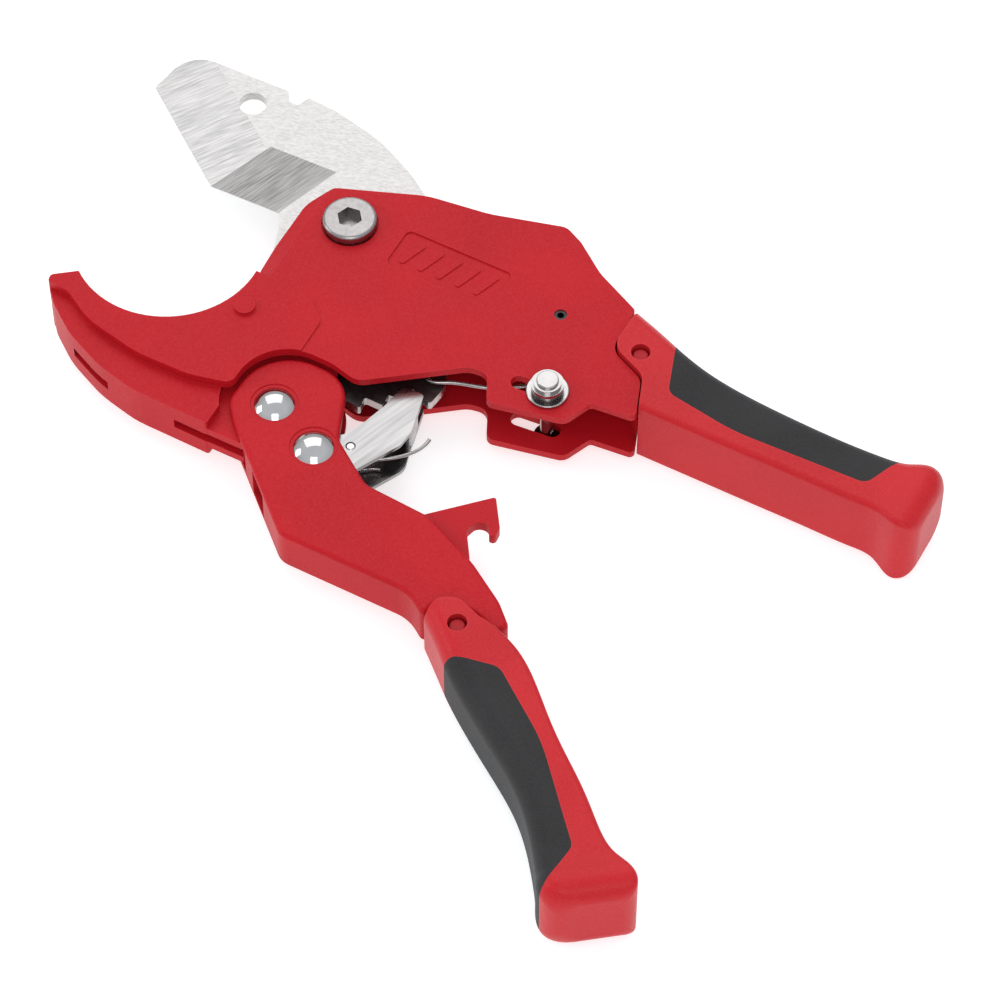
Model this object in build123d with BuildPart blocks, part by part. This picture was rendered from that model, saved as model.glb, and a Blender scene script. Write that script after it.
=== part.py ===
"""Ratchet shears for plastic pipe up to 42 mm, lying on one side with the blade fully open.

Frame: the blade's pivot axis stands on the origin, +X runs along the fixed handle, +Y points to
the back of the blade and +Z points up from the surface that the tool lies on. Every length is in
millimetres. The tool is nearly symmetric about its mid-plane, which is MID above that surface, so
heights are given from the mid-plane: level(h) is the plane at height h.
"""

import os
from math import atan2, cos, degrees, hypot, radians, sin

from build123d import *

os.makedirs("parts", exist_ok=True)

# ------------------------------------------------------------------ driving dimensions
MID = 11.0  # mid-plane above the surface, set by the nut and the two end caps

BODY_HALF = 8.0  # half the thickness of the die-cast body
CHEEK = 2.0  # thickness of its two side plates
JAW_HALF = 8.4  # the jaw's inner band is a little thicker
BAND_HALF = 5.9  # the jaw's outer band is thinner
TONGUE_HALF = 3.5  # the part of the jaw that sits between the lever's ears
LEVER_HALF = 5.9  # half the thickness of the lever
LEVER_WALL = 2.3
PAWL_HALF = 3.45
PAWL_SHEET = 1.1
BLADE_HALF = 1.2
SLOT_HALF = 1.45  # half the width of the slots that the blade runs in
HOOK_HALF = 1.5
GRIP_HALF = 9.5
CAP_HALF = 11.0  # the grips flare to this at their ends

PIVOT = (0.0, 0.0)  # blade bolt
LEVER_PIVOT = (9.5, -51.4)
PAWL_PIVOT = (23.1, -57.6)
SPRING_PIN = (55.0, -0.3)
LOCK_REST = (62.6, -21.0)  # lock pin, unlocked
LOCK_TRAVEL = 5.6  # towards the jaw, to where it holds the hook
LOCK_SPARE = 1.4  # slot beyond each end of the pin's travel
LOCK_ANGLE = 185.5  # direction of that travel
UPPER_PIN = (76.3, -2.1)
LOWER_PIN = (75.0, -85.9)
LOWER_ANGLE = -40.9  # direction of the moving handle

SEAT = (-34.0, -24.0)  # centre of the round pipe seat
SEAT_RADIUS = 22.2
BLADE_SWING = 70.0  # degrees from open to fully through the seat

BOLT_DIAMETER = 8.0
RIVET_DIAMETER = 5.0
PAWL_RIVET_DIAMETER = 4.0
LOCK_PIN_DIAMETER = 3.2
RUNNING_FIT = 0.05  # radial play of a turning or sliding fit

TOOTH_RADIUS = 47.8  # tips of the ratchet teeth
TOOTH_DEPTH = 3.0
TOOTH_PITCH = 6.6  # degrees
TOOTH_FIRST = -45.0  # angle of the tip nearest the tail's end
TOOTH_COUNT = 8
TAIL_RADIUS = 50.2

HEAD_RING = 6.65  # recess round the bolt's head and nut
HEAD_SINK = 0.5
PANEL_CENTRE = (26.4, -0.7)
PANEL_DEPTH = 0.4
SPRING_HOLE = (34.3, -24.4)
TANG_HALF = 4.0
SPOT_RADIUS = 5.5  # spot faces under the rivets' domes
SPOT_DEPTH = 0.3
DOME_RADIUS = 4.6
DOME_RISE = 2.0
WEB_NOTCH_HALF = 1.75
PALM_ROUND = 4.6  # rounding of the grips' long edges on the palm side
EDGE_ROUND = 1.3  # and on the other side
END_ROUND = 4.2  # rounding over the grips' ends
LOWER_SLANT = -11.5  # slant of the moving grip's end, in degrees
GRIP_HOLE_RADIUS = 2.2
INLAY_DEPTH = 1.5
GRIP_PIN_RADIUS = 1.8
SPRING_STOP = (29.4, -52.1)  # small pin across the pawl that its spring leans on
STOP_RADIUS = 1.15
WIRE_RADIUS = 0.45  # both springs

EDGE_HALF = 0.12  # half the thickness left at the cutting edge
BEVEL_WIDTH = 16.0
EDGE_TIP = (-64.4, 19.4)
EDGE_KNEE = (-37.4, -0.3)
EDGE_HEEL = (-19.2, 0.3)


# ------------------------------------------------------------------ helpers
def level(height):
    """Plane parallel to the mid-plane, at this height above it."""
    return Plane.XY.offset(MID + height)


def polar(radius, angle, centre=PIVOT):
    """Point at this radius and angle in degrees about a centre."""
    return (centre[0] + radius * cos(radians(angle)), centre[1] + radius * sin(radians(angle)))


def outline(corners, mode=Mode.ADD):
    """Face with the given (x, y, corner radius) corners, in the active sketch."""
    with BuildLine() as path:
        FilletPolyline(*[(x, y) for x, y, r in corners], radius=[r for x, y, r in corners], close=True)
    return make_face(path.edges(), mode=mode)


def lock_at(travel):
    """Centre of the lock pin after this travel from its rest position."""
    return polar(travel, LOCK_ANGLE, LOCK_REST)


def finish(builder, name):
    """Label a finished piece and write its file."""
    builder.part.label = name
    export_step(builder.part, f"parts/{name}.step")


# ------------------------------------------------------------------ outlines of the die-cast body
# Side plates and the jaw's thick inner band. The pipe seat is cut out of it afterwards.
BODY_OUTLINE = [
    (-12.0, -22.6, 0.5),
    (-12.9, -12.0, 20.0),
    (-12.9, 2.0, 5.0),
    (-8.6, 7.4, 6.0),
    (11.7, 15.6, 20.0),
    (27.0, 17.7, 25.0),
    (44.5, 22.7, 3.5),
    (49.5, 20.3, 4.0),
    (57.5, 14.4, 12.0),
    (69.4, 8.8, 1.2),
    (69.7, -3.6, 4.5),
    (79.4, -7.9, 4.0),
    (83.2, -17.9, 1.2),
    (72.6, -19.0, 1.2),
    (69.6, -26.0, 3.0),
    (51.8, -29.9, 2.0),
    (48.2, -22.6, 3.0),
    (43.6, -23.3, 6.0),
    (23.4, -38.6, 4.5),
    (16.4, -36.9, 6.0),
    (-0.9, -36.5, 12.4),
    (-0.9, -52.6, 2.5),
    (-11.0, -55.0, 15.0),
    (-24.0, -55.2, 25.0),
    (-38.5, -52.4, 20.0),
    (-46.8, -47.6, 1.5),
    (-52.3, -47.4, 0.8),
    (-52.7, -45.5, 1.2),
    (-47.6, -41.6, 0.8),
    (-34.0, -30.0, 0.0),
    (-12.3, -23.5, 0.0),
]
# Thinner band along the outside of the jaw.
BAND_OUTLINE = [
    (-47.6, -41.8, 0.5),
    (-52.4, -45.6, 1.0),
    (-51.9, -47.6, 2.0),
    (-48.9, -50.8, 8.0),
    (-41.6, -56.2, 25.0),
    (-31.0, -60.9, 30.0),
    (-20.5, -63.2, 25.0),
    (-1.2, -63.4, 0.6),
    (-1.2, -50.0, 0.0),
    (-1.2, -40.0, 0.0),
    (-34.0, -32.0, 0.0),
]
# Tongue that carries the lever's rivet between the lever's ears.
TONGUE_OUTLINE = [
    (-8.0, -63.3, 0.0),
    (8.0, -63.2, 1.0),
    (13.8, -58.6, 4.0),
    (17.0, -53.0, 4.0),
    (17.0, -34.0, 1.0),
    (-8.0, -34.0, 0.0),
]
# Space between the side plates, open along the underside.
CHANNEL_OUTLINE = [
    (10.2, 9.0, 3.0),
    (14.0, 13.2, 3.0),
    (27.0, 15.1, 20.0),
    (44.2, 20.0, 3.0),
    (48.5, 17.7, 4.0),
    (55.6, 12.4, 8.0),
    (66.8, 7.0, 1.0),
    (67.0, -5.0, 3.0),
    (76.8, -9.8, 3.0),
    (85.5, -17.0, 0.0),
    (85.5, -45.0, 0.0),
    (17.05, -45.0, 0.0),
    (17.05, -36.0, 2.0),
    (10.2, -27.0, 6.0),
]
# Space that the lever's ears turn in, above and below the tongue.
POCKET_CENTRE = (11.4, -49.2)
POCKET_RADIUS = 15.2
POCKET_FLOOR = [
    (-1.2, -49.0, 0.0),
    (-1.2, -70.0, 0.0),
    (40.0, -70.0, 0.0),
    (40.0, -40.0, 0.0),
    (14.0, -40.0, 0.0),
]

# ------------------------------------------------------------------ body_frame
with BuildPart() as body_frame:
    with BuildSketch(level(-BODY_HALF)):
        outline(BODY_OUTLINE)
    extrude(amount=2 * BODY_HALF)
    # thick inner band of the jaw, with its stepped edge below the blade bolt
    with BuildSketch(level(-JAW_HALF)):
        outline(BODY_OUTLINE)
        outline(
            [(-60, -22.4, 0), (-8.6, -21.9, 2.5), (3.6, -23.8, 2.5), (8.2, -28.0, 2.5), (8.7, -70, 0), (-60, -70, 0)],
            mode=Mode.INTERSECT,
        )
    extrude(amount=2 * JAW_HALF)
    with BuildSketch(level(-BAND_HALF)):
        outline(BAND_OUTLINE)
    extrude(amount=2 * BAND_HALF)
    with BuildSketch(level(-TONGUE_HALF)):
        outline(TONGUE_OUTLINE)
    extrude(amount=2 * TONGUE_HALF)
    # round pipe seat
    with BuildSketch(level(-10)):
        with Locations(SEAT):
            Circle(SEAT_RADIUS)
    extrude(amount=20, mode=Mode.SUBTRACT)
    # channel between the side plates
    channel_half = BODY_HALF - CHEEK
    with BuildSketch(level(-channel_half)):
        outline(CHANNEL_OUTLINE)
    extrude(amount=2 * channel_half, mode=Mode.SUBTRACT)
    # pockets for the lever's ears
    for low, high in ((TONGUE_HALF, channel_half), (-channel_half, -TONGUE_HALF)):
        with BuildSketch(level(low)):
            with Locations(POCKET_CENTRE):
                Circle(POCKET_RADIUS)
            outline(POCKET_FLOOR)
        extrude(amount=high - low, mode=Mode.SUBTRACT)
    # slot that the blade and its toothed tail swing through
    with BuildSketch(level(-SLOT_HALF)):
        Circle(TOOTH_RADIUS + 0.5)
        with BuildLine() as tail_way:
            Polyline(PIVOT, polar(TAIL_RADIUS + 0.6, -52), mode=Mode.ADD)
            ThreePointArc(polar(TAIL_RADIUS + 0.6, -52), polar(TAIL_RADIUS + 0.6, 0), polar(TAIL_RADIUS + 0.6, 45))
            Polyline(polar(TAIL_RADIUS + 0.6, 45), PIVOT)
        make_face(tail_way.edges())
        tip_radius = hypot(*EDGE_TIP) + 2.2
        tip_stop = degrees(atan2(EDGE_TIP[1], EDGE_TIP[0])) + BLADE_SWING + 1.2
        with BuildLine() as edge_way:
            Polyline(PIVOT, polar(tip_radius, 150))
            ThreePointArc(polar(tip_radius, 150), polar(tip_radius, 190), polar(tip_radius, tip_stop))
            Polyline(polar(tip_radius, tip_stop), polar(41, 252), PIVOT)
        make_face(edge_way.edges())
    extrude(amount=2 * SLOT_HALF, mode=Mode.SUBTRACT)
    # relief windows through the jaw's outer edge
    with BuildSketch(level(-SLOT_HALF)):
        outline([(-54, -46, 0), (-28.5, -66, 0), (-28.5, -57, 0), (-44, -46, 0)])
        with Locations((-1.0, -62.5)):
            Rectangle(18.0, 7.0)
    extrude(amount=2 * SLOT_HALF, mode=Mode.SUBTRACT)
    # sloping strip along the front edge of each side plate
    for side in (1, -1):
        with BuildSketch(Plane.XZ.offset(22.4)):
            with BuildLine() as strip:
                Polyline(
                    (-18.0, MID + side * (BODY_HALF + 1)),
                    (-8.4, MID + side * (BODY_HALF + 1)),
                    (-8.4, MID + side * BODY_HALF),
                    (-18.0, MID + side * (BODY_HALF - 6.2)),
                    close=True,
                )
            make_face(strip.edges())
        extrude(amount=-32.0, mode=Mode.SUBTRACT)
    # bores: blade bolt, lever rivet and spring pin
    for place, radius in (
        (PIVOT, BOLT_DIAMETER / 2 + RUNNING_FIT),
        (LEVER_PIVOT, RIVET_DIAMETER / 2),
        (SPRING_PIN, 1.5),
    ):
        with BuildSketch(level(-10)):
            with Locations(place):
                Circle(radius)
        extrude(amount=20, mode=Mode.SUBTRACT)
    # shallow ring round the bolt's head and nut
    for low, high in ((BODY_HALF - HEAD_SINK, BODY_HALF + 1), (-BODY_HALF - 1, -BODY_HALF + HEAD_SINK)):
        with BuildSketch(level(low)):
            Circle(HEAD_RING)
        extrude(amount=high - low, mode=Mode.SUBTRACT)
    # slot for the lock pin, through both side plates
    with BuildSketch(level(-10)):
        with Locations(Location((*lock_at(LOCK_TRAVEL / 2), 0), (0, 0, LOCK_ANGLE))):
            SlotCenterToCenter(LOCK_TRAVEL + 2 * LOCK_SPARE, LOCK_PIN_DIAMETER + 2 * RUNNING_FIT + 0.3)
    extrude(amount=20, mode=Mode.SUBTRACT)
    # round cast bosses on the jaw
    for low in (JAW_HALF, -JAW_HALF - 0.9):
        with BuildSketch(level(low)):
            with Locations((-9.0, -32.6)):
                Circle(2.45)
        extrude(amount=0.9)
    # shallow panel on the visible side, with plain slanting bars in place of lettering
    with BuildSketch(level(BODY_HALF - PANEL_DEPTH)):
        with Locations(PANEL_CENTRE):
            RectangleRounded(27.4, 11.0, 1.6)
    extrude(amount=1, mode=Mode.SUBTRACT)
    with BuildSketch(level(BODY_HALF - PANEL_DEPTH)):
        for step in range(-2, 3):
            with Locations(Location((PANEL_CENTRE[0] + 4.8 * step, PANEL_CENTRE[1], 0), (0, 0, 70))):
                SlotOverall(7.6, 1.5)
    extrude(amount=PANEL_DEPTH - 0.1)
    # solid root behind the channel, and the tang that the fixed grip is pushed over
    with BuildSketch(level(-TANG_HALF)):
        outline([(66.5, 6.0, 0), (73.0, 5.0, 1), (110.0, -3.4, 1), (110.0, -10.6, 1), (78.5, -10.6, 4), (66.5, -4.6, 0)])
    extrude(amount=2 * TANG_HALF)
    with BuildSketch(level(-10)):
        with Locations(UPPER_PIN):
            Circle(GRIP_PIN_RADIUS)
    extrude(amount=20, mode=Mode.SUBTRACT)
finish(body_frame, "body_frame")

# ------------------------------------------------------------------ blade bolt and nut
with BuildPart() as blade_bolt:
    with BuildSketch(level(-MID)):
        Circle(BOLT_DIAMETER / 2)
    extrude(amount=MID + BODY_HALF)
    with BuildSketch(level(BODY_HALF - HEAD_SINK)):
        Circle(6.3)
    extrude(amount=2.9)
    fillet(blade_bolt.edges().filter_by(GeomType.CIRCLE).group_by(Axis.Z)[-1], 0.9)
    with BuildSketch(level(BODY_HALF - 0.4)):
        RegularPolygon(2.6, 6, major_radius=False, rotation=8)
    extrude(amount=6, mode=Mode.SUBTRACT)
finish(blade_bolt, "blade_bolt")

with BuildPart() as blade_bolt_nut:
    with BuildSketch(level(-MID)):
        RegularPolygon(5.6, 6, major_radius=False, rotation=15)
    extrude(amount=MID - BODY_HALF + HEAD_SINK)
    with BuildSketch(level(-MID)):
        Circle(BOLT_DIAMETER / 2)
    extrude(amount=MID, mode=Mode.SUBTRACT)
finish(blade_bolt_nut, "blade_bolt_nut")

# ------------------------------------------------------------------ blade with its toothed tail
def bevel_height(point, start, end):
    """Height above the mid-plane of the bevel that rises from an edge line, at a plan point."""
    length = hypot(end[0] - start[0], end[1] - start[1])
    normal = ((start[1] - end[1]) / length, (end[0] - start[0]) / length)
    distance = (point[0] - start[0]) * normal[0] + (point[1] - start[1]) * normal[1]
    return EDGE_HALF + (BLADE_HALF - EDGE_HALF) * distance / BEVEL_WIDTH


def bevel_cutter(start, end, corners):
    """Solid over the bevel of one edge line, above the mid-plane, within these plan corners."""
    low = [(x, y, MID + bevel_height((x, y), start, end)) for x, y in corners]
    high = [(x, y, MID + 4.0) for x, y in corners]
    faces = [Face(Wire.make_polygon(ring, close=True)) for ring in (low, high)]
    return Solid.make_loft([face.outer_wire() for face in faces], ruled=True)


BLADE_FRONT = [
    (*EDGE_KNEE, 0.8),
    (*EDGE_TIP, 1.2),
    (-62.0, 32.1, 8.0),
    (-35.3, 32.7, 1.0),
    (-33.6, 30.0, 0.9),
    (-31.2, 30.0, 0.9),
    (-30.2, 33.1, 1.2),
    (-22.5, 32.7, 25.0),
    (-9.0, 29.8, 40.0),
    (2.0, 24.6, 40.0),
    (12.5, 17.6, 3.0),
    (14.0, 4.0, 8.0),
    (12.0, -4.0, 8.0),
    (29.0, -13.5, 6.0),
    (36.8, -20.6, 1.0),
    (39.3, -26.2, 6.0),
    (*polar(TAIL_RADIUS, -39.9), 0.8),
    (*polar(TOOTH_RADIUS - TOOTH_DEPTH, -42.4), 0.0),
]
TOOTH_LAST = TOOTH_FIRST - TOOTH_PITCH * TOOTH_COUNT
BLADE_REAR = [
    (*polar(TOOTH_RADIUS, TOOTH_LAST), 0.3),
    (-10.4, -38.0, 8.0),
    (-11.2, -20.0, 10.0),
    (-16.6, -4.6, 3.0),
    (*EDGE_HEEL, 0.8),
]
with BuildPart() as blade:
    teeth = []
    for tooth in range(TOOTH_COUNT):
        tip = TOOTH_FIRST - TOOTH_PITCH * tooth
        teeth.append((*polar(TOOTH_RADIUS, tip), 0.5))
        teeth.append((*polar(TOOTH_RADIUS - TOOTH_DEPTH, tip - TOOTH_PITCH + 1.6), 0.6))
    with BuildSketch(level(-BLADE_HALF)):
        outline(BLADE_FRONT + teeth + BLADE_REAR)
        with Locations((-40.9, 25.3)):
            Circle(3.3, mode=Mode.SUBTRACT)
        with Locations(SPRING_HOLE):
            Circle(1.3, mode=Mode.SUBTRACT)
        Circle(BOLT_DIAMETER / 2 + RUNNING_FIT, mode=Mode.SUBTRACT)
    extrude(amount=2 * BLADE_HALF)
    # long bevel from the tip to the knee, and the steeper one from the knee to the heel
    main_bevel = bevel_cutter(EDGE_TIP, EDGE_KNEE, [(-39.2, -4.6), (-30.7, 15.2), (-60.0, 38.4), (-80.0, 30.0), (-70.0, 12.0)])
    heel_bevel = bevel_cutter(EDGE_KNEE, EDGE_HEEL, [(-39.2, -4.6), (-30.7, 15.2), (-30.2, 17.0), (-12.9, 17.0), (-20.6, -5.0)])
    for cutter in (main_bevel, heel_bevel):
        add(cutter, mode=Mode.SUBTRACT)
        add(cutter.mirror(level(0)), mode=Mode.SUBTRACT)
finish(blade, "blade")

# ------------------------------------------------------------------ lever: a channel with a hook
LEVER_OUTLINE = [
    (-0.3, -55.2, 6.0),
    (-0.3, -37.3, 12.4),
    (20.6, -37.4, 9.0),
    (26.8, -52.8, 4.0),
    (38.2, -60.7, 6.0),
    (54.5, -61.6, 10.0),
    (69.0, -67.9, 20.0),
    (79.0, -74.2, 12.0),
    (84.4, -79.3, 1.5),
    (81.6, -81.6, 1.5),
    (76.2, -79.6, 4.0),
    (66.6, -79.0, 4.2),
    (66.6, -85.8, 1.2),
    (60.4, -81.6, 10.0),
    (28.0, -81.6, 5.0),
    (3.5, -59.7, 8.0),
]
LEVER_CHANNEL = [
    (-6.0, -30.0, 0.0),
    (-6.0, -70.0, 0.0),
    (6.0, -70.0, 0.0),
    (11.0, -63.8, 0.0),
    (26.0, -78.0, 3.0),
    (31.0, -79.1, 3.0),
    (61.0, -79.1, 2.0),
    (64.0, -70.0, 2.0),
    (64.0, -50.0, 0.0),
]
HOOK_OUTLINE = [
    (50.6, -60.9, 0.0),
    (63.9, -47.7, 0.6),
    (68.6, -54.6, 1.2),
    (68.8, -57.3, 0.9),
    (67.3, -57.4, 0.5),
    (66.4, -54.8, 2.0),
    (63.2, -55.6, 2.0),
    (62.4, -58.6, 1.2),
    (66.8, -65.2, 3.0),
    (70.0, -80.5, 0.0),
    (51.0, -80.5, 0.0),
]
LOWER_FRAME = Plane(
    origin=(*LOWER_PIN, MID),
    x_dir=(cos(radians(LOWER_ANGLE)), sin(radians(LOWER_ANGLE)), 0),
    z_dir=(0, 0, 1),
)
LOWER_TANG = [(-11.0, -2.0, 0), (-8.0, -3.4, 3), (12.0, -3.0, 8), (32.0, -0.8, 1), (32.0, 5.4, 1), (-2.0, 5.4, 3), (-9.0, 5.0, 0)]

with BuildPart() as lever:
    with BuildSketch(level(-LEVER_HALF)):
        outline(LEVER_OUTLINE)
    extrude(amount=2 * LEVER_HALF)
    fillet(lever.faces().filter_by(Axis.Z).edges(), 1.1)
    channel_half = LEVER_HALF - LEVER_WALL
    with BuildSketch(level(-channel_half)):
        outline(LEVER_CHANNEL)
    extrude(amount=2 * channel_half, mode=Mode.SUBTRACT)
    with BuildSketch(level(-HOOK_HALF)):
        outline(HOOK_OUTLINE)
    extrude(amount=2 * HOOK_HALF)
    # relief window through the back of the channel
    with BuildSketch(level(-4.2)):
        with Locations(Location((16.1, -71.6, 0), (0, 0, -42.0))):
            Rectangle(7.4, 8.0)
    extrude(amount=8.4, mode=Mode.SUBTRACT)
    # tang inside the moving grip
    with BuildSketch(LOWER_FRAME.offset(-TANG_HALF)):
        outline(LOWER_TANG)
    extrude(amount=2 * TANG_HALF)
    # bores and spot faces for the two rivets
    for place, diameter in ((LEVER_PIVOT, RIVET_DIAMETER + 2 * RUNNING_FIT), (PAWL_PIVOT, PAWL_RIVET_DIAMETER)):
        with BuildSketch(level(-10)):
            with Locations(place):
                Circle(diameter / 2)
        extrude(amount=20, mode=Mode.SUBTRACT)
        for low in (LEVER_HALF - SPOT_DEPTH, -LEVER_HALF - 1.0):
            with BuildSketch(level(low)):
                with Locations(place):
                    Circle(SPOT_RADIUS)
            extrude(amount=1.0 + SPOT_DEPTH, mode=Mode.SUBTRACT)
    with BuildSketch(level(-10)):
        with Locations(LOWER_PIN):
            Circle(GRIP_PIN_RADIUS)
    extrude(amount=20, mode=Mode.SUBTRACT)
finish(lever, "lever")


# ------------------------------------------------------------------ domed rivets
def domed_rivet(place, diameter, seat):
    """Rivet along +Z through the lever, with a dome of radius DOME_RADIUS at each end."""
    with BuildPart() as rivet:
        with BuildSketch(level(-seat)):
            with Locations(place):
                Circle(diameter / 2)
        extrude(amount=2 * seat)
        ball = (DOME_RADIUS**2 + DOME_RISE**2) / (2 * DOME_RISE)
        for side in (1, -1):
            with BuildPart(mode=Mode.PRIVATE) as dome:
                with Locations((*place, MID + side * (seat + DOME_RISE - ball))):
                    Sphere(ball)
                split(bisect_by=level(side * seat), keep=Keep.TOP if side > 0 else Keep.BOTTOM)
            add(dome.part)
    return rivet


lever_pivot_rivet = domed_rivet(LEVER_PIVOT, RIVET_DIAMETER, LEVER_HALF - SPOT_DEPTH + 0.04)
finish(lever_pivot_rivet, "lever_pivot_rivet")
pawl_pivot_rivet = domed_rivet(PAWL_PIVOT, PAWL_RIVET_DIAMETER, LEVER_HALF - SPOT_DEPTH)
finish(pawl_pivot_rivet, "pawl_pivot_rivet")

# ------------------------------------------------------------------ pawl: a folded steel stirrup
EAR_BACK = [
    (24.5, -63.2, 5.0),
    (17.9, -61.0, 4.4),
    (18.2, -52.6, 4.4),
    (26.4, -50.4, 2.5),
    (28.9, -44.7, 4.0),
    (30.7, -38.5, 5.0),
    (31.6, -31.9, 2.6),
    (37.0, -31.9, 0.9),
    (39.4, -42.4, 1.2),
]
NEAR_EAR = [(39.0, -46.6, 2.5), (32.6, -59.0, 4.0)]
FAR_EAR = [(41.0, -48.4, 4.0), (35.0, -60.2, 4.0)]
with BuildPart() as pawl:
    for low, front in ((PAWL_HALF - PAWL_SHEET, NEAR_EAR), (-PAWL_HALF, FAR_EAR)):
        with BuildSketch(level(low)):
            outline(EAR_BACK + front)
        extrude(amount=PAWL_SHEET)
    with BuildSketch(level(-PAWL_HALF)):
        outline([(35.6, -32.1, 0), (37.0, -32.1, 0.6), (39.4, -42.4, 0.6), (38.2, -42.7, 0)])
    extrude(amount=2 * PAWL_HALF)
    # notch in the web that the blade's tail passes through
    with BuildSketch(level(-WEB_NOTCH_HALF)):
        outline([(33.0, -30.0, 0), (41.0, -30.0, 0), (41.0, -37.4, 0), (34.0, -36.0, 0)])
    extrude(amount=2 * WEB_NOTCH_HALF, mode=Mode.SUBTRACT)
    for place, radius in ((PAWL_PIVOT, PAWL_RIVET_DIAMETER / 2 + RUNNING_FIT), (SPRING_STOP, STOP_RADIUS)):
        with BuildSketch(level(-10)):
            with Locations(place):
                Circle(radius)
        extrude(amount=20, mode=Mode.SUBTRACT)
finish(pawl, "pawl")

with BuildPart() as pawl_spring_stop:
    with BuildSketch(level(-PAWL_HALF)):
        with Locations(SPRING_STOP):
            Circle(STOP_RADIUS)
    extrude(amount=2 * PAWL_HALF)
    fillet(pawl_spring_stop.faces().filter_by(Axis.Z).edges(), 0.5)
finish(pawl_spring_stop, "pawl_spring_stop")


# ------------------------------------------------------------------ grips
def lofted(frame, sections, inset):
    """Solid through rounded sections (x, palm side y, other side y, half thickness, slant) of a grip."""
    with BuildPart() as skin:
        for x, palm, front, half, slant in sections:
            turn = radians(slant)
            across = frame.x_dir * -sin(turn) + frame.y_dir * cos(turn)
            forward = frame.x_dir * cos(turn) + frame.y_dir * sin(turn)
            side = 1 if palm < front else -1
            near = palm + side * inset
            far = front + 2 * side * inset
            with BuildSketch(Plane(origin=frame.from_local_coords((x, 0, 0)), x_dir=across, z_dir=forward)):
                outline(
                    [
                        (near, inset - half, PALM_ROUND - inset),
                        (far, inset - half, EDGE_ROUND),
                        (far, half - inset, EDGE_ROUND),
                        (near, half - inset, PALM_ROUND - inset),
                    ]
                )
        loft()
    return skin


def closing(x, palm, front, half, slant):
    """Sections that round the end of a grip over, the last of them at this x."""
    side = 1 if palm < front else -1
    rows = []
    for angle in (0, 30, 55, 75, 90):
        shrink = END_ROUND * (1 - cos(radians(angle)))
        ahead = END_ROUND * (sin(radians(angle)) - 1)
        rows.append((x + ahead, palm + side * shrink, front - side * shrink, half - shrink, slant))
    return rows


def grip(frame, sections, head, tang, inlay_shape):
    """Grip and its soft inlay, drawn in a frame on the mid-plane with +X towards the end."""
    with BuildPart() as whole:
        add(lofted(frame, sections, 0.0).part)
        with BuildSketch(frame.offset(-CAP_HALF)):
            outline(head)
        extrude(amount=2 * CAP_HALF, mode=Mode.INTERSECT)
        # pocket that the tang is pressed into
        with BuildSketch(frame.offset(-TANG_HALF)):
            outline(tang)
        extrude(amount=2 * TANG_HALF, mode=Mode.SUBTRACT)
        with BuildSketch(frame.offset(-CAP_HALF)):
            Circle(GRIP_HOLE_RADIUS)
        extrude(amount=2 * CAP_HALF, mode=Mode.SUBTRACT)
    with BuildPart() as inlay:
        add(whole.part)
        with BuildSketch(frame.offset(-CAP_HALF)):
            outline(inlay_shape)
        extrude(amount=2 * CAP_HALF, mode=Mode.INTERSECT)
        add(lofted(frame, sections, INLAY_DEPTH).part, mode=Mode.SUBTRACT)
    with BuildPart() as holder:
        add(whole.part)
        add(inlay.part, mode=Mode.SUBTRACT)
    return holder, inlay


UPPER_FRAME = Plane(origin=(*UPPER_PIN, MID), x_dir=(1, 0, 0), z_dir=(0, 0, 1))
UPPER_TANG = [
    (-8.0, 9.0, 0),
    (-8.0, -6.5, 0),
    (2.2, -8.5, 4.0),
    (33.7, -8.5, 1.0),
    (33.7, -1.3, 1.0),
    (-3.3, 7.1, 1.0),
]
upper_grip, upper_grip_inlay = grip(
    UPPER_FRAME,
    sections=[
        (-10.0, 12.9, -13.8, GRIP_HALF, 0),
        (0.0, 9.3, -13.8, GRIP_HALF, 0),
        (6.0, 7.0, -13.8, GRIP_HALF, 0),
        (14.0, 4.4, -13.8, GRIP_HALF, 0),
        (26.0, 2.4, -13.8, GRIP_HALF, 0),
        (38.0, 1.6, -13.8, GRIP_HALF, 0),
        (50.0, 1.3, -13.8, GRIP_HALF, 0),
        (60.0, 1.6, -13.8, GRIP_HALF, 0),
        (66.0, 2.4, -14.2, 9.9, 0),
    ]
    + closing(75.5, 3.4, -16.1, CAP_HALF, 0),
    head=[
        (-6.2, 20.0, 0),
        (-6.25, -1.25, 4.4),
        (3.4, -5.5, 4.4),
        (6.8, -14.4, 0.4),
        (6.8, -20.0, 0),
        (80.0, -20.0, 0),
        (80.0, 20.0, 0),
    ],
    tang=UPPER_TANG,
    inlay_shape=[(3.8, 12.0, 0), (10.6, -7.2, 3.0), (28.0, -9.8, 50.0), (60.2, -8.7, 3.0), (68.0, 9.6, 0)],
)
finish(upper_grip, "upper_grip")
finish(upper_grip_inlay, "upper_grip_inlay")

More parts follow.
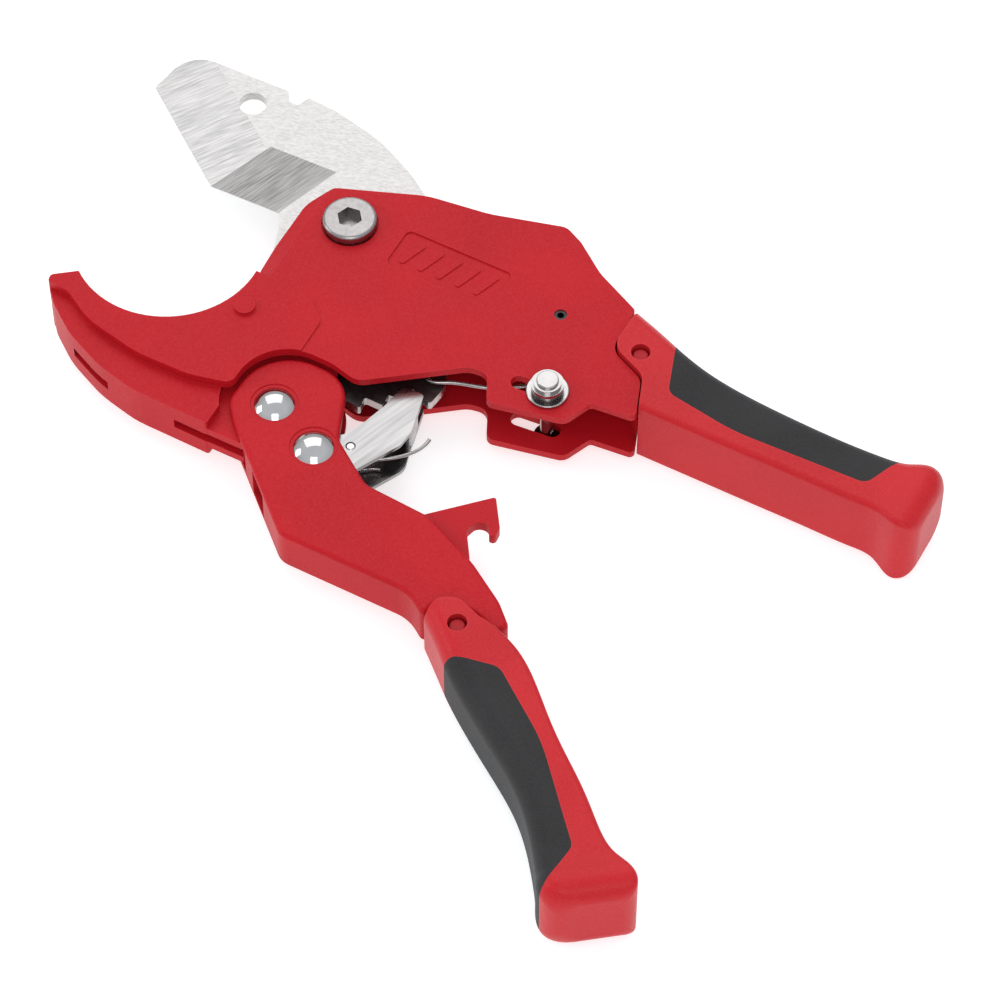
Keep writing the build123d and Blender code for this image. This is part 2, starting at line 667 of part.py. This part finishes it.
lower_grip, lower_grip_inlay = grip(
    LOWER_FRAME,
    sections=[
        (-10.0, -5.7, 10.3, GRIP_HALF, 0),
        (12.0, -5.6, 10.3, GRIP_HALF, 0),
        (26.0, -4.2, 10.3, GRIP_HALF, 0),
        (41.0, -2.7, 10.3, GRIP_HALF, 0),
        (54.0, -4.0, 10.3, GRIP_HALF, 0),
        (63.0, -6.0, 10.8, 9.9, LOWER_SLANT / 2),
    ]
    + closing(73.1, -7.4, 13.3, CAP_HALF, LOWER_SLANT),
    head=[
        (-3.8, -9.0, 0),
        (-7.9, -1.9, 3.2),
        (-6.4, 2.4, 4.0),
        (0.2, 4.9, 3.0),
        (3.0, 7.0, 2.2),
        (4.3, 10.4, 0.4),
        (4.4, 16.0, 0),
        (84.0, 16.0, 0),
        (84.0, -9.0, 0),
    ],
    tang=LOWER_TANG,
    inlay_shape=[(6.9, -12.0, 0), (7.0, -4.0, 3.0), (13.5, 4.6, 4.0), (34.0, 6.3, 50.0), (60.6, 3.0, 3.0), (70.0, -10.2, 0)],
)
finish(lower_grip, "lower_grip")
finish(lower_grip_inlay, "lower_grip_inlay")


def grip_pin(place, top):
    """Plain pin through a grip and its tang, a little below both faces."""
    with BuildPart() as pin:
        with BuildSketch(level(-top)):
            with Locations(place):
                Circle(GRIP_PIN_RADIUS)
        extrude(amount=2 * top)
        fillet(pin.faces().filter_by(Axis.Z).edges(), 0.4)
    return pin


finish(grip_pin(UPPER_PIN, GRIP_HALF - 1.2), "upper_grip_pin")
finish(grip_pin(LOWER_PIN, GRIP_HALF - 0.7), "lower_grip_pin")

# ------------------------------------------------------------------ lock pin with its washer and clip
with BuildPart() as lock_pin:
    for low, high, radius in (
        (-BODY_HALF - 1.6, BODY_HALF + 0.9, LOCK_PIN_DIAMETER / 2),
        (BODY_HALF + 0.9, BODY_HALF + 2.3, 2.9),
        (BODY_HALF + 2.3, BODY_HALF + 3.3, 3.75),
        (BODY_HALF + 3.3, BODY_HALF + 4.2, 3.2),
        (BODY_HALF + 4.2, BODY_HALF + 4.9, 2.5),
    ):
        with BuildSketch(level(low)):
            with Locations(LOCK_REST):
                Circle(radius)
        extrude(amount=high - low)
    fillet(lock_pin.edges().filter_by(GeomType.CIRCLE).group_by(Axis.Z)[-1], 0.3)
finish(lock_pin, "lock_pin")

with BuildPart() as lock_pin_washer:
    with BuildSketch(level(BODY_HALF + 0.05)):
        with Locations(LOCK_REST):
            Circle(4.85)
            Circle(LOCK_PIN_DIAMETER / 2, mode=Mode.SUBTRACT)
    extrude(amount=0.8)
    fillet(lock_pin_washer.edges().group_by(Axis.Z)[-1].sort_by(SortBy.RADIUS)[-1], 0.25)
finish(lock_pin_washer, "lock_pin_washer")

with BuildPart() as lock_pin_clip:
    clip_top = -BODY_HALF - 0.1
    with BuildSketch(level(clip_top - 0.8)):
        with Locations(LOCK_REST):
            Circle(3.0)
            Circle(LOCK_PIN_DIAMETER / 2, mode=Mode.SUBTRACT)
            with Locations((0, -2.5)):
                Rectangle(1.6, 3.0, mode=Mode.SUBTRACT)
    extrude(amount=0.8)
finish(lock_pin_clip, "lock_pin_clip")

# ------------------------------------------------------------------ springs and their pin
with BuildPart() as spring_anchor_pin:
    with BuildSketch(level(-BODY_HALF + 0.3)):
        with Locations(SPRING_PIN):
            Circle(1.5)
            Circle(0.8, mode=Mode.SUBTRACT)
    extrude(amount=2 * BODY_HALF - 0.6)
finish(spring_anchor_pin, "spring_anchor_pin")


def bent_wire(points):
    """Round spring wire along a smooth line; each point is (x, y, height from the mid-plane)."""
    with BuildPart() as wire:
        with BuildLine() as path:
            Spline(*[(x, y, MID + height) for x, y, height in points])
        with BuildSketch(Plane(origin=path.line @ 0, z_dir=path.line % 0)):
            Circle(WIRE_RADIUS)
        sweep(path=path.line)
    return wire


def coil_points(centre, radius, start, turns, low, high):
    """Points every 30 degrees along a coil that rises evenly from low to high."""
    steps = round(turns * 12)
    points = []
    for step in range(steps + 1):
        x, y = polar(radius, start + 360 * turns * step / steps, centre)
        points.append((x, y, low + (high - low) * step / steps))
    return points


# hairpin spring: hooked through the blade's tail, coiled once and a half, held by the roll pin
RETURN_COIL = (65.0, -12.2)
blade_return_spring = bent_wire(
    [(34.3, -24.4, -2.0), (34.3, -24.4, -0.4), (34.3, -24.5, 1.2), (34.2, -25.6, 2.4), (35.0, -27.0, 2.6)]
    + [(36.6, -27.2, 2.6), (39.4, -25.9, 2.6), (47.5, -23.1, 2.6), (55.2, -18.6, 2.6), (61.6, -15.4, 2.6)]
    + coil_points(RETURN_COIL, 4.0, -75, 1.55, 2.7, 4.4)
    + [(59.0, -5.2, 4.5), (56.8, -1.2, 4.5), (55.6, 1.6, 4.5), (54.0, 1.9, 4.5), (53.0, 0.4, 4.5)]
)
finish(blade_return_spring, "blade_return_spring")

# torsion spring round the pawl's rivet, one leg bearing on the pawl and the other on the lever
pawl_spring = bent_wire(
    [(36.6, -51.6, -1.4), (33.0, -53.6, -1.4), (28.6, -56.4, -1.4)]
    + coil_points(PAWL_PIVOT, 2.9, 70, 2.7, -1.35, 1.35)
    + [(30.4, -55.2, 1.5), (36.3, -50.8, 1.5), (40.6, -47.3, 1.5), (42.2, -45.9, 1.5), (43.0, -44.4, 1.5)]
    + [(43.3, -42.8, 1.5), (43.4, -41.0, 1.5)]
)
finish(pawl_spring, "pawl_spring")
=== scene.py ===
"""Looks of the ratchet pipe shears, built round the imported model. Lengths are in metres."""

import math

import bmesh
import bpy
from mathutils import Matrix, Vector


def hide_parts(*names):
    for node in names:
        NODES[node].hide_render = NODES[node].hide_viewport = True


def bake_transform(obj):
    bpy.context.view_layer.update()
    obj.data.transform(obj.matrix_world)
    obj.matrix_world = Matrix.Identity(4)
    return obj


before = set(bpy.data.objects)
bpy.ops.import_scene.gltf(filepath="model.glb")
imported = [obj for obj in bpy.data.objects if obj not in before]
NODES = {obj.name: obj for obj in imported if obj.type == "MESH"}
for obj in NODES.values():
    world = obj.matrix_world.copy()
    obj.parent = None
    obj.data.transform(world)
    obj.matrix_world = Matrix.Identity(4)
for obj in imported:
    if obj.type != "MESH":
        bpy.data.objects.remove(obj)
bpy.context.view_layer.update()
MM = 0.001
MID = 11.0  # height of the mid-plane in millimetres

# ------------------------------------------------------------------ camera
AZIMUTH, ELEVATION = math.radians(28.3), math.radians(55.0)
AIM = Vector((64.58, -47.09, MID)) * MM
BACK = Vector((
    math.sin(AZIMUTH) * math.cos(ELEVATION),
    -math.cos(AZIMUTH) * math.cos(ELEVATION),
    math.sin(ELEVATION),
))
camera_data = bpy.data.cameras.new("camera")
camera_data.sensor_width = 36.0
camera_data.lens = 158.4
camera = bpy.data.objects.new("camera", camera_data)
bpy.context.scene.collection.objects.link(camera)
camera.location = AIM + BACK * 0.9778
camera.rotation_mode = "QUATERNION"
camera.rotation_quaternion = (-BACK).to_track_quat("-Z", "Y")
bpy.context.scene.camera = camera


# ------------------------------------------------------------------ material helpers
class Material:
    """A Principled material with helpers for the node chains used here."""

    def __init__(self, name, metallic=0.0):
        self.material = bpy.data.materials.new(name)
        self.material.use_nodes = True
        self.tree = self.material.node_tree
        self.shader = self.tree.nodes["Principled BSDF"]
        self.shader.inputs["Metallic"].default_value = metallic
        self.place = self.node("ShaderNodeTexCoord").outputs["Object"]

    def node(self, kind, **settings):
        made = self.tree.nodes.new(kind)
        for key, value in settings.items():
            setattr(made, key, value)
        return made

    def link(self, source, target):
        self.tree.links.new(source, target)

    def noise(self, scale, detail=2.0, stretch=None, angle=0.0):
        """Noise over the object, or streaks along an angle about Z when stretch=(along, across)."""
        texture = self.node("ShaderNodeTexNoise")
        texture.inputs["Scale"].default_value = scale
        texture.inputs["Detail"].default_value = detail
        source = self.place
        if stretch:
            turned = self.node("ShaderNodeMapping", vector_type="POINT")
            turned.inputs["Rotation"].default_value = (0, 0, -angle)
            self.link(source, turned.inputs["Vector"])
            scaled = self.node("ShaderNodeMapping", vector_type="POINT")
            scaled.inputs["Scale"].default_value = (stretch[0], stretch[1], stretch[1])
            self.link(turned.outputs["Vector"], scaled.inputs["Vector"])
            source = scaled.outputs["Vector"]
        self.link(source, texture.inputs["Vector"])
        return texture.outputs["Fac"]

    def remap(self, source, low, high, to_low, to_high):
        ranged = self.node("ShaderNodeMapRange")
        for key, value in (("From Min", low), ("From Max", high), ("To Min", to_low), ("To Max", to_high)):
            ranged.inputs[key].default_value = value
        self.link(source, ranged.inputs["Value"])
        return ranged.outputs["Result"]

    def mix(self, factor, first, second, blend="MIX"):
        """Mix of two colours; each is an output or an (r, g, b) tuple."""
        mixed = self.node("ShaderNodeMix", data_type="RGBA", blend_type=blend)
        for socket, value in ((mixed.inputs[0], factor), (mixed.inputs[6], first), (mixed.inputs[7], second)):
            if isinstance(value, (int, float)):
                socket.default_value = value
            elif isinstance(value, tuple):
                socket.default_value = (*value, 1.0)
            else:
                self.link(value, socket)
        return mixed.outputs[2]

    def edges(self, radius, low=0.02, high=0.35):
        """1 near the object's edges, 0 on open faces."""
        bevel = self.node("ShaderNodeBevel", samples=6)
        bevel.inputs["Radius"].default_value = radius
        flat = self.node("ShaderNodeNewGeometry")
        product = self.node("ShaderNodeVectorMath", operation="DOT_PRODUCT")
        self.link(bevel.outputs["Normal"], product.inputs[0])
        self.link(flat.outputs["Normal"], product.inputs[1])
        return self.remap(product.outputs["Value"], 1.0 - low, 1.0 - high, 0.0, 1.0)

    def bump(self, *layers):
        """Bump from (height output, strength, distance) layers."""
        normal = None
        for height, strength, distance in layers:
            bump = self.node("ShaderNodeBump")
            bump.inputs["Strength"].default_value = strength
            bump.inputs["Distance"].default_value = distance
            self.link(height, bump.inputs["Height"])
            if normal is not None:
                self.link(normal, bump.inputs["Normal"])
            normal = bump.outputs["Normal"]
        self.link(normal, self.shader.inputs["Normal"])

    def colour(self, source):
        self.link(source, self.shader.inputs["Base Color"])

    def roughness(self, source):
        self.link(source, self.shader.inputs["Roughness"])


def painted(name, base, light, rough, grain, depth):
    """Red coat with a fine grain, a little cloudiness and a painted highlight: a paler colour along the edges,
    where rounded edges catch the light.
    """
    made = Material(name)
    cloud = made.remap(made.noise(45.0, 3.0), 0.3, 0.7, 0.0, 1.0)
    fine = made.noise(grain, 3.0)
    dark = tuple(0.86 * c for c in base)
    tone = made.mix(cloud, dark, base)
    tone = made.mix(made.remap(fine, 0.35, 0.75, 0.0, 0.35), tone, light)
    # painted highlight: the pale colour is mixed in along the edges
    tone = made.mix(made.remap(made.edges(0.0007), 0.0, 1.0, 0.0, 0.55), tone, light)
    made.colour(tone)
    made.roughness(made.remap(fine, 0.3, 0.7, rough + 0.06, rough - 0.06))
    made.bump((fine, 0.55, depth), (made.noise(grain * 0.3, 2.0), 0.3, depth * 2.0))
    made.shader.inputs["Specular IOR Level"].default_value = 0.16
    return made.material


def bright_metal(name, base, rough, ring=None):
    """Plated or turned steel with faint marks; ring=(x, y) adds turning lines about that axis."""
    made = Material(name, 1.0)
    smear = made.remap(made.noise(260.0, 3.0), 0.3, 0.7, 0.0, 1.0)
    made.colour(made.mix(smear, tuple(0.86 * c for c in base), base))
    made.roughness(made.remap(made.noise(900.0, 2.0), 0.3, 0.7, rough * 0.7, rough * 1.4))
    layers = [(made.noise(1500.0, 2.0), 0.08, 0.00003)]
    if ring:
        turned = made.node("ShaderNodeTexWave", wave_type="RINGS", rings_direction="Z")
        turned.inputs["Scale"].default_value = 1400.0
        turned.inputs["Distortion"].default_value = 1.5
        turned.inputs["Detail"].default_value = 2.0
        shifted = made.node("ShaderNodeMapping", vector_type="POINT")
        shifted.inputs["Location"].default_value = (-ring[0] * MM, -ring[1] * MM, 0)
        made.link(made.place, shifted.inputs["Vector"])
        made.link(shifted.outputs["Vector"], turned.inputs["Vector"])
        layers.append((turned.outputs["Fac"], 0.12, 0.00002))
    made.bump(*layers)
    return made.material


def ground_metal(name, dark, base, rough, angle, strength=0.25, streak=(28.0, 2600.0), painted_shading_ramp=None):
    """Ground steel with streaks along an angle in the XY plane. An optional (axis angle, start, end, colour) ramp
    paints the given colour in along that axis: painted shade where the colour is darker, a painted highlight where
    it is lighter.
    """
    made = Material(name, 1.0)
    streaks = made.noise(1.0, 4.0, stretch=streak, angle=angle)
    broad = made.noise(1.0, 2.0, stretch=(streak[0] * 0.6, streak[1] * 0.12), angle=angle)
    tone = made.mix(made.remap(streaks, 0.32, 0.68, 0.0, 1.0), dark, base)
    tone = made.mix(made.remap(broad, 0.35, 0.65, 0.0, 0.5), tone, base)
    # painted shading: a ramp along the axis towards the given colour
    if painted_shading_ramp:
        direction, start, end, colour = painted_shading_ramp
        along = made.node("ShaderNodeVectorMath", operation="DOT_PRODUCT")
        made.link(made.place, along.inputs[0])
        along.inputs[1].default_value = (math.cos(direction), math.sin(direction), 0)
        tone = made.mix(made.remap(along.outputs["Value"], start * MM, end * MM, 0.0, 1.0), tone, colour)
    made.colour(tone)
    made.roughness(made.remap(streaks, 0.3, 0.7, rough * 1.2, rough * 0.8))
    made.bump((streaks, strength, 0.00003))
    return made.material


def soft_skin(name):
    """Matte charcoal rubber with a fine leather-like grain."""
    made = Material(name)
    cells = made.node("ShaderNodeTexVoronoi", feature="F1")
    cells.inputs["Scale"].default_value = 1500.0
    made.link(made.place, cells.inputs["Vector"])
    fine = made.noise(2600.0, 3.0)
    tone = made.mix(made.remap(made.noise(60.0, 3.0), 0.3, 0.7, 0.0, 1.0), (0.017, 0.016, 0.0165), (0.026, 0.0245, 0.025))
    tone = made.mix(made.remap(fine, 0.4, 0.8, 0.0, 0.5), tone, (0.055, 0.052, 0.053))
    made.colour(tone)
    made.roughness(made.remap(fine, 0.3, 0.7, 0.5, 0.66))
    made.bump((cells.outputs["Distance"], 0.35, 0.00008), (fine, 0.3, 0.00004))
    made.shader.inputs["Specular IOR Level"].default_value = 0.22
    return made.material


BODY_RED = painted("body_red", (0.5, 0.006, 0.013), (0.6, 0.026, 0.032), 0.46, 2400.0, 0.00005)
GRIP_RED = painted("grip_red", (0.56, 0.014, 0.021), (0.66, 0.05, 0.05), 0.38, 3000.0, 0.00003)
PIN_RED = painted("pin_red", (0.44, 0.01, 0.018), (0.54, 0.035, 0.04), 0.36, 3000.0, 0.00003)
INLAY = soft_skin("inlay_charcoal")
CHROME = bright_metal("chrome", (0.6, 0.59, 0.58), 0.09)
BOLT_STEEL = bright_metal("bolt_steel", (0.34, 0.322, 0.318), 0.28, ring=(0, 0))
LOCK_STEEL = bright_metal("lock_steel", (0.46, 0.45, 0.44), 0.16, ring=(62.6, -21.0))
SPRING_STEEL = bright_metal("spring_steel", (0.4, 0.385, 0.37), 0.22)
BLACK_STEEL = bright_metal("black_steel", (0.05, 0.05, 0.052), 0.35)
PAWL_STEEL = ground_metal("pawl_steel", (0.25, 0.243, 0.24), (0.4, 0.392, 0.388), 0.24, math.radians(70), 0.12, (60.0, 900.0))
# painted shade and painted dark reflection: the blade's flat sides darken along -35 degrees, 8 to 20 mm out from
# the bolt, over the tail inside the body's channel
BLADE_FLAT = ground_metal(
    "blade_flat", (0.45, 0.44, 0.43), (0.485, 0.472, 0.462), 0.4, math.radians(21), 0.05, (900.0, 3000.0),
    painted_shading_ramp=(math.radians(-35.0), 8.0, 20.0, (0.16, 0.155, 0.155)),
)
BLADE_BEVEL = ground_metal("blade_bevel", (0.28, 0.277, 0.272), (0.46, 0.45, 0.445), 0.34, math.radians(53.9), 0.4)
# painted shade: the heel bevel is a darker copy of the ground steel, and its ramp lightens one end as a painted
# highlight
HEEL_BEVEL_PAINTED_SHADE = ground_metal(
    "heel_bevel_painted_shade", (0.14, 0.137, 0.135), (0.27, 0.263, 0.258), 0.3, math.radians(66.6), 0.4,
    painted_shading_ramp=(math.radians(-23.4), -20.0, -15.5, (0.4, 0.392, 0.388)),
)
BLADE_EDGE = ground_metal("blade_edge", (0.42, 0.41, 0.4), (0.6, 0.59, 0.58), 0.28, 0.0, 0.15, (300.0, 1200.0))


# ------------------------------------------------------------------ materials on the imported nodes
def paint(material, *names):
    for name in names:
        mesh = NODES[name].data
        mesh.materials.clear()
        mesh.materials.append(material)


paint(BODY_RED, "body_frame", "lever")
paint(GRIP_RED, "upper_grip", "lower_grip")
paint(PIN_RED, "upper_grip_pin", "lower_grip_pin")
paint(INLAY, "upper_grip_inlay", "lower_grip_inlay")
paint(CHROME, "lever_pivot_rivet", "pawl_pivot_rivet")
paint(BOLT_STEEL, "blade_bolt", "blade_bolt_nut")
paint(LOCK_STEEL, "lock_pin", "lock_pin_washer")
paint(BLACK_STEEL, "spring_anchor_pin", "lock_pin_clip")
paint(SPRING_STEEL, "blade_return_spring", "pawl_spring")
paint(PAWL_STEEL, "pawl")
paint(CHROME, "pawl_spring_stop")

# the blade's faces are told apart by their normals: flat sides, two ground bevels, and the rim; the heel bevel's
# darker steel is painted shade
blade = NODES["blade"].data
blade.materials.clear()
for made in (BLADE_FLAT, BLADE_BEVEL, HEEL_BEVEL_PAINTED_SHADE, BLADE_EDGE):
    blade.materials.append(made)
for face in blade.polygons:
    x, y, z = face.normal
    if abs(z) < 0.9:
        face.material_index = 3
    elif abs(z) > 0.9995:
        face.material_index = 0
    elif x < -0.02:
        face.material_index = 1
    else:
        face.material_index = 2


# ------------------------------------------------------------------ springs, copied and cut into short lengths
def stretched(name):
    """Copy of a packed spring, cut into short lengths; the packed spring is hidden."""
    node = NODES[name]
    wire = bpy.data.objects.new(name + "_wire", node.data.copy())
    bpy.context.scene.collection.objects.link(wire)
    mesh = bmesh.new()
    mesh.from_mesh(wire.data)
    long_edges = [edge for edge in mesh.edges if edge.calc_length() > 2.0 * MM]
    bmesh.ops.subdivide_edges(mesh, edges=long_edges, cuts=9)
    mesh.to_mesh(wire.data)
    mesh.free()
    wire.data.materials.clear()
    wire.data.materials.append(SPRING_STEEL)
    for face in wire.data.polygons:
        face.use_smooth = True
    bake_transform(wire)
    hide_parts(name)


stretched("blade_return_spring")
stretched("pawl_spring")


# ------------------------------------------------------------------ softened edges
def soften(name, width, segments=2, angle=35.0):
    """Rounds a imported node's sharp edges with modifiers; the mesh itself stays as it is."""
    node = NODES[name]
    weld = node.modifiers.new("weld", "WELD")
    weld.merge_threshold = 0.000002
    plane = node.modifiers.new("planes", "DECIMATE")
    plane.decimate_type = "DISSOLVE"
    plane.angle_limit = math.radians(0.4)
    bevel = node.modifiers.new("bevel", "BEVEL")
    bevel.width = width * MM
    bevel.segments = segments
    bevel.limit_method = "ANGLE"
    bevel.angle_limit = math.radians(angle)
    bevel.use_clamp_overlap = True
    bevel.harden_normals = False
    for face in node.data.polygons:
        face.use_smooth = True
    weighted = node.modifiers.new("shading", "WEIGHTED_NORMAL")
    weighted.keep_sharp = False


soften("body_frame", 0.7)
soften("lever", 0.3)

# ------------------------------------------------------------------ light and floor
def area_light(name, place, target, size, watts, colour=(1.0, 1.0, 1.0)):
    data = bpy.data.lights.new(name, "AREA")
    data.shape = "RECTANGLE"
    data.size, data.size_y = size
    data.energy = watts
    data.color = colour
    light = bpy.data.objects.new(name, data)
    bpy.context.scene.collection.objects.link(light)
    light.location = place
    light.rotation_mode = "QUATERNION"
    light.rotation_quaternion = (Vector(target) - Vector(place)).to_track_quat("-Z", "Y")
    return light


CENTRE = (0.06, -0.045, 0.01)
area_light("key", (-0.5, 0.75, 1.15), CENTRE, (1.5, 1.2), 7.5, (1.0, 0.985, 0.97))
area_light("front", (0.55, -0.95, 1.1), CENTRE, (0.7, 0.7), 4.0, (0.97, 0.985, 1.0))
area_light("left", (-1.1, -0.5, 0.6), CENTRE, (0.5, 0.5), 2.5)

world = bpy.data.worlds.new("world")
bpy.context.scene.world = world
world.use_nodes = True
sky = world.node_tree
background = sky.nodes["Background"]
direction = sky.nodes.new("ShaderNodeTexCoord")
parts = sky.nodes.new("ShaderNodeSeparateXYZ")
sky.links.new(direction.outputs["Generated"], parts.inputs["Vector"])
ramp = sky.nodes.new("ShaderNodeMapRange")
for key, value in (("From Min", -0.2), ("From Max", 0.75), ("To Min", 0.42), ("To Max", 0.86)):
    ramp.inputs[key].default_value = value
sky.links.new(parts.outputs["Z"], ramp.inputs["Value"])
background.inputs["Color"].default_value = (0.92, 0.95, 1.0, 1.0)
sky.links.new(ramp.outputs["Result"], background.inputs["Strength"])

floor_mesh = bpy.data.meshes.new("floor")
reach = 3.0
floor_mesh.from_pydata(
    [(-reach, -reach, 0), (reach, -reach, 0), (reach, reach, 0), (-reach, reach, 0)], [], [(0, 1, 2, 3)]
)
floor = bpy.data.objects.new("floor", floor_mesh)
bpy.context.scene.collection.objects.link(floor)
floor_material = Material("floor_paper")
floor_material.shader.inputs["Roughness"].default_value = 0.9
floor_material.colour(floor_material.mix(floor_material.noise(8.0, 2.0), (0.6, 0.62, 0.62), (0.62, 0.64, 0.64)))
floor_material.shader.inputs["Emission Color"].default_value = (1, 1, 1, 1)
floor_material.shader.inputs["Emission Strength"].default_value = 0.62
floor_mesh.materials.append(floor_material.material)

bpy.context.scene.view_settings.view_transform = "Standard"

bpy.context.view_layer.update()
